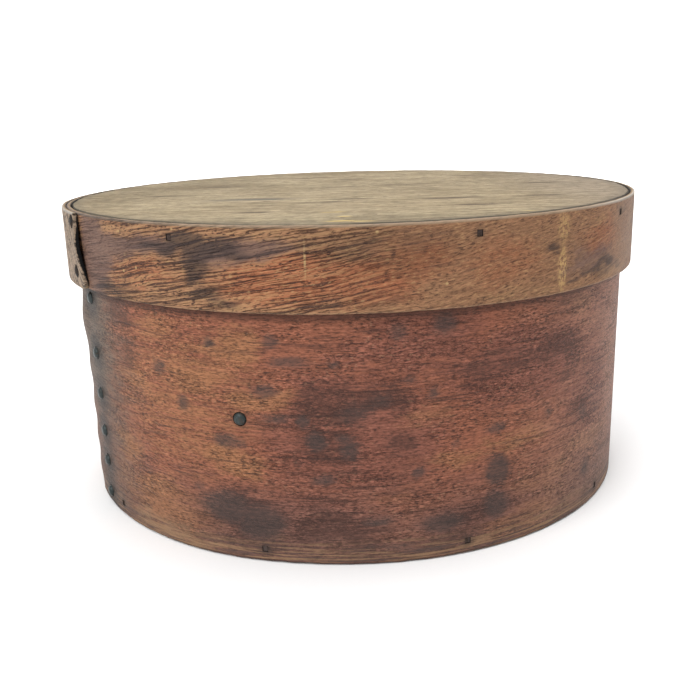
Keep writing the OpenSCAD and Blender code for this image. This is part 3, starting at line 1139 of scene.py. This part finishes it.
def lid_grain(wood):
    """Tan to red-brown wood with dark open grain, gold ridges that are partly a painted highlight, and pores.
    """
    red = wood.step(wood.painted("red") + 0.8 * wood.ragged, 0.1, 0.9)
    wood.base = wood.mix(red, LID_TAN, LID_RED_BROWN)
    patchy = wood.step(wood.noise(wood.place, (70, 30, 40), 3.0), 0.36, 0.52)
    behind = wood.step(wood.along, 125, 165) * patchy
    left = wood.most(1 - 0.85 * wood.step(wood.along + 35 * wood.ragged, -16, 26), behind)
    wood.shade_by(1.0 + (0.7 + 0.9 * left) * wood.fibre + 1.5 * wood.fine)
    # Gold on the ridges beside the open grain, partly a painted highlight.
    wood.lay(wood.step(wood.groove, 0.48, 0.40) * left * 0.45, RIDGE_GOLD_AND_HIGHLIGHT)
    wood.opened = wood.step(wood.groove, 0.535, 0.57) * left
    wood.lay(wood.opened * 0.85, OPEN_GRAIN)
    speck = wood.noise(wood.grain, (2.0, 9, 0.6), 2.0, 0.65)
    wood.pore = wood.step(speck, 0.55, 0.66)
    thick = wood.step(wood.noise(wood.place, (16, 20, 6), 3.0, 0.6), 0.42, 0.6)
    wood.lay(wood.pore * (0.3 + 0.3 * left + 0.4 * thick), OPEN_GRAIN)
    wood.shade_by(1 - 0.1 * wood.step(wood.along, 0, 45) * wood.step(wood.along, 118, 90))
    wood.lay(wood.step(speck, 0.42, 0.32) * 0.55, RIDGE_GOLD_AND_HIGHLIGHT)


# %% [markdown]
# Rubs, drips and stains on the lid
#
# Hands rubbed the edges back to pale wood, and knocks left small nicks and one long scratch. Something
# yellow ran down at the right and has flaked since. Then come a plum-grey veil, the black patch that
# soaked in at the left, and at the right a grey that is dust and a painted sheen.

# %% Rubs and stains of the lid
LID_BLACK = (0.034, 0.027, 0.027)
PALE_WOOD = (0.400, 0.260, 0.125)
DRIP_YELLOW = (0.500, 0.315, 0.130)
VEIL_PLUM = (0.138, 0.085, 0.071)
RIGHT_DUST_AND_SHEEN = (0.290, 0.210, 0.165)
LID_NICKS = [(-86, 115), (-83.5, 107.2), (-85, 101.3), (-78, 103), (-60, 117.2), (8, 116.5), (30, 99)]
NICK_HALF = (0.6, 1, 0.6)
DIM_PATCH = (10, 0, 110), (30, 1, 10)
SCRATCH = (-14.4, 0, 108.4), (0.45, 1, 6.5)
DRIP_ALONG = 75.5
DRIP = (DRIP_ALONG, 0, 99), (2.6, 1, 9)
SPLASH = (DRIP_ALONG, 0, 113.5), (3.6, 1, 6)


def lid_rubbed(wood):
    """Pale rubbed places, nicks and a scratch, and the flaking yellow drip."""
    wood.lay(wood.step(wood.painted("pale") + 0.9 * wood.ragged, 0.25, 0.95) * 0.36, PALE_WOOD)
    wood.shade_by(1 - 0.22 * wood.spot(wood.face, *DIM_PATCH))
    for along, height in LID_NICKS:
        wood.lay(wood.spot(wood.face, (along, 0, height), NICK_HALF), PALE_WOOD)
    scratch = wood.spot(wood.face, *SCRATCH)
    wood.lay(scratch * wood.step(wood.fine, -0.15, 0.0), PALE_WOOD)
    splash = wood.spot(wood.face, *SPLASH) * 0.6
    drip = wood.most(wood.spot(wood.face, *DRIP), splash)
    flakes = wood.step(wood.noise(wood.face, (0.9, 1, 1.5), 3.0, 0.66, 0.4), 0.42, 0.56)
    wood.lay(drip * flakes * 0.9, DRIP_YELLOW)


def lid_stains(wood):
    """A plum-grey veil, black stains that follow the open grain, and grey at the right: dust and a painted
    sheen.
    """
    veil = wood.step(wood.painted("veil") + 0.9 * wood.ragged + 0.5 * wood.fibre, 0.15, 0.8)
    wood.lay(veil * 0.85, wood.shade(VEIL_PLUM, 1 + 0.9 * wood.fibre + 0.9 * wood.fine))
    uneven = 1.1 * wood.ragged + 1.3 * (wood.groove - 0.5) + 0.5 * wood.fine
    wood.lay(wood.step(wood.painted("stain") + uneven, 0.2, 1.0) * 0.75, LID_BLACK)
    # Grey at the right: dust, and a painted sheen.
    wood.lay(wood.step(wood.along, 96, 126) * 0.45, RIGHT_DUST_AND_SHEEN)


# %% [markdown]
# The lid's lapped end and edges
#
# The lapped end is weathered grey, rough as bark, and the gap behind its cut end is black; the cut end face
# itself is painted black, as dirt and as painted shadow. The upper edge is rubbed pale and carries a painted
# highlight, with a painted silver sheen at the right and grey at the left. The same edge is dark on the
# inside, with painted shade and dirt in the crevice by the board.

# %% Lapped end and edges of the lid
TAB_GREY = (0.300, 0.224, 0.160)
END_DIRT_AND_SHADOW = (0.008, 0.008, 0.008)
RIM_PALE = (0.300, 0.220, 0.148)
RIM_SHEEN = (0.400, 0.360, 0.310)
RIM_GREY = (0.125, 0.103, 0.085)
LID_END = (lid["inner_r"] * lid["start"] - lid["front"]) / MM
LID_STRIP = lid["strip"] / MM
LID_TOP = lid["top"] / MM


def lid_tab(wood):
    """The weathered end of the lap."""
    wood.tab = wood.painted("tab")
    leaning = wood.vector(wood.along + wood.height * 0.7, wood.depth, wood.height)
    wood.bark = wood.noise(leaning, (1.5, 9, 5), 5.0, 0.7, 0.6)
    ridged = wood.bark * wood.step(wood.bark, 0.36, 0.54)
    weathered = wood.shade(TAB_GREY, 0.15 + 2.0 * ridged + 1.2 * wood.fibre)
    wood.lay(wood.step(wood.tab + 0.6 * wood.ragged, 0.3, 0.9) * 0.92, weathered)


def lid_edges(wood):
    """The cut end's black, dirt and painted shadow, thinner towards its corners, and the long edges, rubbed
    pale with painted highlight and sheen.
    """
    wood.cut_end = wood.step(wood.along, LID_END - 0.7, LID_END - 0.4)
    taper = wood.step(wood.height, LID_FOOT + 10.5, LID_FOOT) + wood.step(wood.height, LID_TOP - 11, LID_TOP)
    inner_side = wood.depth + LID_STRIP - 1.1 * taper + 1.5 * wood.ragged
    # The cut end face is painted black: dirt, and a painted shadow.
    wood.lay(wood.cut_end * wood.step(inner_side, 0.1, 0.45), END_DIRT_AND_SHADOW)
    # The long edges are worn pale and also carry a painted highlight; the silver at the right is a painted
    # sheen.
    lower_rim = 0.3 - 0.3 * wood.step(wood.height, LID_FOOT + 0.3, LID_FOOT + 0.8)
    upper_rim = wood.step(wood.height, LID_TOP - 1.1, LID_TOP - 0.4)
    rim = wood.most(upper_rim, lower_rim) * (1 - wood.cut_end)
    rim_tint = wood.mix(wood.step(wood.along, -40, -95), RIM_PALE, RIM_GREY)
    wood.lay(rim * 0.8, wood.mix(wood.step(wood.along, 75, 115), rim_tint, RIM_SHEEN))


# %% Finish of the lid's hoop


def lid_finish():
    """All the layers outside, bare wood inside, and painted shade with dirt in the crevice by the board."""
    wood = lid_patterns()
    for layer in (lid_grain, lid_rubbed, lid_stains, lid_tab):
        layer(wood)
    iron_marks(wood, uneven=0.5, strength=0.7)
    lid_edges(wood)
    outside = 1 - wood.step(wood.depth, -1.5, -0.6)
    bare = bare_wood(wood, wood.place, *HOOP_GRAIN)[0]
    wood.base = wood.mix(wood.most(outside, wood.cut_end), bare, wood.base)
    # Painted shade with dirt on the inside of the upper edge, in the crevice by the board.
    near_top = wood.step(wood.height, LID_TOP - 3, LID_TOP - 2)
    crevice = near_top * wood.step(wood.depth + 0.5 * wood.ragged, -0.6, -0.25)
    wood.lay(crevice * 0.9, IRON_BLACK_AND_SHADE)
    rough = 0.78 - outside * (0.18 - 0.3 * wood.ragged)
    relief = wood.fibre * 0.5 + wood.fine * 0.3 - wood.opened * 0.7 - wood.pore * 0.35
    return wood.finish(wood.base, rough, relief + wood.tab * wood.bark * 2.5, depth=0.4 * MM, **DULL)


lid_wood = lid_finish()
print(lid_wood.name, "has", len(lid_wood.node_tree.nodes), "nodes")

# %% [markdown]
# The boards' wood
#
# The lid's top is a plain board gone khaki in the light. Its grain runs across the picture and is broken
# by short dark checks, which a long noise splits so that they aren't plain ovals. Its front rim has a few
# fresh yellow chips, and the crevice round it is painted dark, as dirt and painted shade. The bottom board
# is bare and darker.

# %% Grain of the top board
KHAKI_DARK = (0.206, 0.158, 0.095)
KHAKI = (0.318, 0.255, 0.160)
END_BROWN = (0.225, 0.180, 0.140)
CHECK_DARK = (0.085, 0.060, 0.042)


def top_grain():
    """Starts the top board's finish: faded khaki wood with fibres, small checks and pores."""
    wood = Finish("top_board_wood")
    wood.place = wood.board_place()
    across, wood.back, high = [wood.part(wood.place, axis) for axis in "XYZ"]
    curve = wood.noise(wood.place, (120, 60, 40), 2.0) * 9
    wood.grain = wood.vector(across, wood.back + curve, high)
    broad = wood.noise(wood.grain, (140, 14, 30), 4.0, 0.6)
    fibre = wood.noise(wood.grain, (22, 3.6, 8), 6.0, 0.72)
    wood.fibre = fibre - 0.5
    wood.fine = wood.noise(wood.grain, (4, 2.6, 4), 3.0, 0.7) - 0.5
    cloud = wood.noise(wood.place, (45, 40, 30), 3.0)
    wood.cloud = cloud - 0.5
    wood.base = wood.mix(wood.step(0.3 * broad + 0.35 * fibre + 0.45 * cloud, 0.44, 0.66), KHAKI_DARK, KHAKI)
    wood.lay(wood.step(across + 20 * wood.cloud, 55, 108) * 0.6, END_BROWN)
    # Darker at the left, a little darker towards the back, and darker at the front edge.
    tone_by_place = 0.86 + 0.16 * wood.step(across, -110, -10) - 0.11 * wood.step(wood.back, -85, 60)
    wood.shade_by(tone_by_place - 0.29 * wood.step(wood.back, -78, -113) + 0.8 * wood.fibre + 1.3 * wood.fine)
    wood.check = wood.step(wood.noise(wood.grain, (5, 3.2, 8), 4.0, 0.7), 0.58, 0.68)
    wood.lay(wood.check * 0.6, CHECK_DARK)
    wood.pore = wood.step(wood.noise(wood.grain, (4, 0.6, 4), 2.0, 0.6), 0.56, 0.66)
    wood.lay(wood.pore * 0.35, CHECK_DARK)
    return wood


# %% Checks, chips and rim of the top board
CHIP_YELLOW = (0.50, 0.36, 0.13)
GREY_STREAK = (0.110, 0.096, 0.080)
CHECKS = [
    (-20, 72, 10), (-5, 14, 7), (-10, -51, 8), (26, 20, 12), (1, 58, 7), (2, -42, 10), (37, -48, 8),
    (45, -46, 6), (75, -46, 7), (46, -72, 8), (-60, 30, 9), (60, 62, 10), (-35, -80, 7), (85, 10, 9),
    (-78, -8, 8),
]
CHIPS = [(-6, -85, 5, 1.2), (-3, -110, 6, 1.6), (4, -112, 5, 1.4), (-2, -98, 3, 1.0), (60, -96, 4, 0.8)]
CURVE_SHIFT = 4.5
THROUGH = 40
STREAK = (-39, -30, LID_TOP), (22, 5, THROUGH)
CLOSED = (-24, -113, LID_TOP), (26, 14, THROUGH)
TOP_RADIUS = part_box("lid_top_board")[1].x / MM
DIRT_FROM, DIRT_FULL = TOP_RADIUS - 6.8, TOP_RADIUS - 0.5
CREVICE_FROM, CREVICE_FULL = TOP_RADIUS - 0.55, TOP_RADIUS - 0.1


def top_marks(wood):
    """Split checks, a grey streak and yellow chips."""
    split = wood.step(wood.noise(wood.grain, (18, 0.9, 5), 3.0, 0.62), 0.36, 0.50)
    for x, y, half in CHECKS:
        dash = wood.spot(wood.grain, (x, y + CURVE_SHIFT, LID_TOP), (1.4 * half, 2.8, THROUGH))
        wood.lay(dash * split * 0.95, CHECK_DARK)
    streak = wood.spot(wood.grain, *STREAK)
    wood.lay(streak * split * 0.95, GREY_STREAK)
    broken = wood.step(0.55 + 0.9 * wood.noise(wood.grain, (5, 0.8, 5), 3.0), 0.85, 1.05)
    for x, y, long, wide in CHIPS:
        wood.lay(wood.spot(wood.place, (x, y, LID_TOP), (long, wide, THROUGH)) * broken, CHIP_YELLOW)


def top_rim(wood):
    """Dirt towards the rim, and the crevice painted dark as dirt and painted shade, less at one place in
    front where it is nearly closed.
    """
    flat_place = wood.times(wood.place, (1, 1, 0))
    far = wood.node("ShaderNodeVectorMath", {"operation": "LENGTH"}, {0: flat_place}, "Value")
    wood.lay(wood.step(far + 5 * wood.cloud, DIRT_FROM, DIRT_FULL) * 0.35, GREY_STREAK)
    # The crevice round the board is painted dark: dirt and painted shade.
    in_front = wood.step(wood.back, -10, -80)
    crevice = wood.step(far + 1.1 * in_front + wood.fine, CREVICE_FROM, CREVICE_FULL)
    closed = wood.spot(wood.place, *CLOSED)
    wood.lay(crevice * (0.92 - 0.2 * in_front - 0.5 * closed), IRON_BLACK_AND_SHADE)


# %% Finish of the boards


def top_finish():
    """The top board's layers, dull as chalk."""
    wood = top_grain()
    top_marks(wood)
    top_rim(wood)
    relief = wood.fibre * 0.4 + wood.fine * 0.4 - wood.check * 0.6 - wood.pore * 0.3
    return wood.finish(wood.base, 0.8 + 0.2 * wood.fibre, relief, depth=0.2 * MM, **CHALKY)


def bottom_finish():
    """Bare wood with grey grime."""
    wood = Finish("bottom_board_wood")
    place = wood.board_place()
    wood.base, fibre = bare_wood(wood, place, long=60, across=1.4, through=8)
    grime = wood.step(wood.noise(place, (40, 30, 30), 4.0, 0.6), 0.48, 0.75)
    wood.lay(grime * 0.5, GREY_STREAK)
    return wood.finish(wood.base, 0.7 + 0.15 * grime, fibre, depth=0.2 * MM, **DULL)


top_wood = top_finish()
bottom_wood = bottom_finish()
print(top_wood.name, "has", len(top_wood.node_tree.nodes), "nodes")

# %% [markdown]
# Iron
#
# The tacks of the body are grey-green iron, rubbed smooth on their domes and rusty in their pits. Those
# of the lid's lap are darker and dull, and the nails are brown, dusty at the foot. One function makes all
# four, from noise at a fraction of a millimetre, with a little metal showing where the rust is thin.

# %% Finish of the iron
IRON_GREY = (0.029, 0.038, 0.037)
TAB_IRON = (0.026, 0.024, 0.023)
NAIL_BROWN = (0.056, 0.039, 0.035)
NAIL_DUSTY = (0.085, 0.062, 0.055)
RUST = (0.040, 0.026, 0.018)


def iron_finish(name, tint, rust_from, rough, gloss):
    """Iron of one tint, with rust where a noise passes a number."""
    iron = Finish(name)
    place = iron.board_place()
    pits = iron.noise(place, (0.7, 0.7, 0.7), 4.0, 0.65)
    rust = iron.step(iron.noise(place, (1.8, 1.8, 1.8), 4.0, 0.6), rust_from, rust_from + 0.2)
    base = iron.shade(iron.mix(rust * 0.8, tint, RUST), 0.6 + 0.8 * pits)
    extra = {"Metallic": 0.3 - 0.25 * rust, "Specular IOR Level": gloss}
    return iron.finish(base, rough + 0.3 * rust, pits, depth=0.12 * MM, **extra)


tack_iron = iron_finish("tack_iron", IRON_GREY, rust_from=0.52, rough=0.38, gloss=0.34)
tab_iron = iron_finish("tab_iron", TAB_IRON, rust_from=0.45, rough=0.7, gloss=0.1)
lid_nail_iron = iron_finish("lid_nail_iron", NAIL_BROWN, rust_from=0.45, rough=0.6, gloss=0.12)
foot_nail_iron = iron_finish("foot_nail_iron", NAIL_DUSTY, rust_from=0.45, rough=0.7, gloss=0.12)
print("iron finishes:", [skin.name for skin in (tack_iron, tab_iron, lid_nail_iron, foot_nail_iron)])

# %% [markdown]
# The holes
#
# Iron presses the thin wood in, so every head sits in a small dark pocket. Cutters a little larger than
# the fasteners make the pockets with a Boolean on the bent hoops and are deleted afterwards. The cut
# faces keep the cutter's own finish, nearly black: grime has filled the pockets, and the black is also
# painted shade in the hollows.

# %% Cutters for the pockets
HEAD_ROOM = 0.25 * MM
SHANK_ROOM = 0.14 * MM
FLOOR_ROOM = 0.05 * MM
NAIL_ROOM = 0.06 * MM
OUTSIDE = 3 * MM
SHANK_HOLE = 6 * MM
NAIL_HOLE = OUTSIDE + 8 * MM


def tack_cutter():
    """A stepped pin for a tack's head and shank."""
    floor = -TACK_PROUD - TACK_RIM - FLOOR_ROOM
    tall = OUTSIDE - floor
    head = {"vertices": 24, "radius": TACK_HEAD / 2 + HEAD_ROOM, "depth": tall}
    bpy.ops.mesh.primitive_cylinder_add(location=(0, 0, floor + tall / 2), **head)
    piece = made("tack_cutter")
    pick_faces(piece, facing_down)
    bpy.ops.mesh.inset(thickness=(TACK_HEAD - SHANK) / 2 + HEAD_ROOM - SHANK_ROOM, depth=0)
    extrude((0, 0, -SHANK_HOLE))
    bpy.ops.object.mode_set(mode="OBJECT")
    return piece


def nail_cutter():
    """A square pin for a nail."""
    bpy.ops.mesh.primitive_cube_add(size=1, location=(0, 0, OUTSIDE - NAIL_HOLE / 2))
    return made("nail_cutter", (NAIL_WIDE + 2 * NAIL_ROOM, NAIL_TALL + 2 * NAIL_ROOM, NAIL_HOLE))


# %% Give every piece its finish and cut the pockets
POCKET_GRIME_AND_SHADE = (0.020, 0.015, 0.012)


def pocket_finish():
    """Black crumbs of grime, which also stand for painted shade in the pockets."""
    grime = Finish("pocket_grime_and_shade")
    crumbs = grime.noise(grime.board_place(), (0.5, 0.5, 0.5), 3.0)
    return grime.finish(grime.shade(POCKET_GRIME_AND_SHADE, 0.6 + 0.8 * crumbs), 0.85, crumbs, depth=0.1 * MM, **DULL)


def cut_pockets(band, tacks, nails):
    """Cuts every fastener's pocket into a hoop."""
    pin, peg = tack_cutter(), nail_cutter()
    cutter = join([set_in_place(pin, "pins", tacks), set_in_place(peg, "pegs", nails)], "cutter")
    # The pocket walls are near black: grime, and painted shade in the hollows.
    cutter.data.materials.append(pocket_grime_and_shade)
    before = len(band.data.polygons)
    settings = {"operation": "DIFFERENCE", "solver": "EXACT", "material_mode": "TRANSFER"}
    apply_modifier(band, "BOOLEAN", object=cutter, **settings)
    discard(pin, peg, cutter)
    print(band.name, "had", before, "faces and now has", len(band.data.polygons))


pocket_grime_and_shade = pocket_finish()
FINISHES = [
    (body_band, body_varnish), (lid_band, lid_wood), (top_board, top_wood), (bottom, bottom_wood),
    (row, tack_iron), (lone, tack_iron), (tab_pair, tab_iron),
    (lid_nail_set, lid_nail_iron), (bottom_nail_set, foot_nail_iron),
]
for piece, skin in FINISHES:
    piece.data.materials.append(skin)
cut_pockets(body_band, row_tacks + lone_tack, bottom_nails)
cut_pockets(lid_band, lid_tacks, lid_nails)

# %% Smooth the faces that are meant to be round
SMOOTH_BELOW = math.radians(35)
for piece, _ in FINISHES:
    only(piece)
    bpy.ops.object.shade_smooth_by_angle(angle=SMOOTH_BELOW)
    print(piece.name, "has", sum(len(face.vertices) - 2 for face in piece.data.polygons), "triangles")

# %% [markdown]
# Dress the frame
#
# Every piece rides on the body that carries it and stands for one node of the frame, which is hidden.
# The table also gives the slot of its finish.

# %% Ride and replace
DRESSING = [
    (body_band, "box", "body_band", "body_wood"),
    (bottom, "box", "bottom_board", "board_wood"),
    (row, "box", "body_lap_tacks", "tack_iron"),
    (lone, "box", "inner_lap_tack", "tack_iron"),
    (bottom_nail_set, "box", "bottom_nails", "nail_iron"),
    (lid_band, "lid", "lid_band", "lid_wood"),
    (top_board, "lid", "lid_top_board", "board_wood"),
    (tab_pair, "lid", "lid_lap_tacks", "tack_iron"),
    (lid_nail_set, "lid", "lid_nails", "nail_iron"),
]
for piece, carrier, node, slot in DRESSING:
    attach(piece, carrier)
    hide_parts(node)
print("dressed", len(DRESSING), "nodes")

# %% [markdown]
# Floor, light and camera
#
# The box stands on a white sweep that curves up far behind it, so no horizon shows. A white world fills
# the shadows and a large soft lamp from the upper left gives the slight roundness of the picture. The
# camera's place was worked out from the ovals of the lid and the foot.

# %% Studio
FLOOR_HALF = 4.0
FLOOR_BACK = 3.0
SWEEP_HIGH = 4.0
SWEEP_ROUND = 1.2
AT_BACK = FLOOR_BACK - 0.01
PAPER_WHITE = (0.9, 0.9, 0.9)
PAPER_TOOTH = (2, 2, 2)
TOOTH_DEEP = 0.02 * MM


def studio_floor():
    """A white floor that turns up into a back wall."""
    bpy.ops.mesh.primitive_plane_add(size=2 * FLOOR_HALF, location=(0, FLOOR_BACK - FLOOR_HALF, 0))
    piece = made("studio_floor")
    points = piece.data.vertices
    for point in points:
        point.select = point.co.y > AT_BACK
    for edge in piece.data.edges:
        edge.select = all(points[index].select for index in edge.vertices)
    for face in piece.data.polygons:
        face.select = False
    bpy.ops.object.mode_set(mode="EDIT")
    bpy.ops.mesh.select_mode(type="EDGE")
    extrude((0, 0, SWEEP_HIGH))
    bpy.ops.object.mode_set(mode="OBJECT")
    limits = {"limit_method": "ANGLE", "angle_limit": SHARP_ABOVE}
    apply_modifier(piece, "BEVEL", width=SWEEP_ROUND, segments=16, **limits)
    bpy.ops.object.shade_smooth()
    paper = Finish("paper")
    tooth = paper.noise(paper.board_place(), PAPER_TOOTH, 2.0)
    white = paper.shade(PAPER_WHITE, 0.98 + 0.02 * tooth)
    piece.data.materials.append(paper.finish(white, 0.9, tooth, TOOTH_DEEP))
    return piece


print(studio_floor().name, "reaches", FLOOR_BACK, "m behind the box")

# %% Lights
WORLD_FILL = 0.62
WHITE = (1.0, 1.0, 1.0, 1.0)
BOX_MIDDLE = (0, 0, 0.06)
BACK_WALL = (0, FLOOR_BACK, 0.9)
world = bpy.data.worlds.new("studio")
world.use_nodes = True
sky = world.node_tree.nodes["Background"]
sky.inputs["Color"].default_value = WHITE
sky.inputs["Strength"].default_value = WORLD_FILL
bpy.context.scene.world = world


def soft_lamp(name, place, aim, side, power):
    """A square lamp that faces a point."""
    bpy.ops.object.light_add(type="AREA", location=place)
    lamp = bpy.context.object
    lamp.name = name
    lamp.data.size = side
    lamp.data.energy = power
    lamp.rotation_euler = (Vector(aim) - Vector(place)).to_track_quat("-Z", "Y").to_euler()
    print("lamp", name, "is", side, "m wide, with", power, "W")


soft_lamp("key", place=(-1.1, -1.3, 1.7), aim=BOX_MIDDLE, side=1.4, power=34)
soft_lamp("overhead", place=(0.2, 0.3, 2.2), aim=BOX_MIDDLE, side=2.0, power=40)
soft_lamp("backdrop", place=(0, 1.2, 1.6), aim=BACK_WALL, side=1.6, power=60)

# %% Camera
CAMERA_PLACE = Vector((0, -0.3842, 0.15314))
CAMERA_AIM = Vector((-0.00189, 0, 0.04559))
CAMERA_ROLL = math.radians(-1.55)
CAMERA_LENS = 44.275
SENSOR_WIDE = 36
NEAREST = 0.01
bpy.ops.object.camera_add(location=CAMERA_PLACE)
camera = bpy.context.object
camera.data.sensor_width = SENSOR_WIDE
camera.data.lens = CAMERA_LENS
camera.data.clip_start = NEAREST
camera.rotation_euler = (CAMERA_AIM - CAMERA_PLACE).to_track_quat("-Z", "Y").to_euler()
camera.rotation_euler.rotate_axis("Z", CAMERA_ROLL)
bpy.context.scene.camera = camera
bpy.context.scene.view_settings.view_transform = "Standard"
print("camera is", round((CAMERA_AIM - CAMERA_PLACE).length, 3), "m from what it looks at")
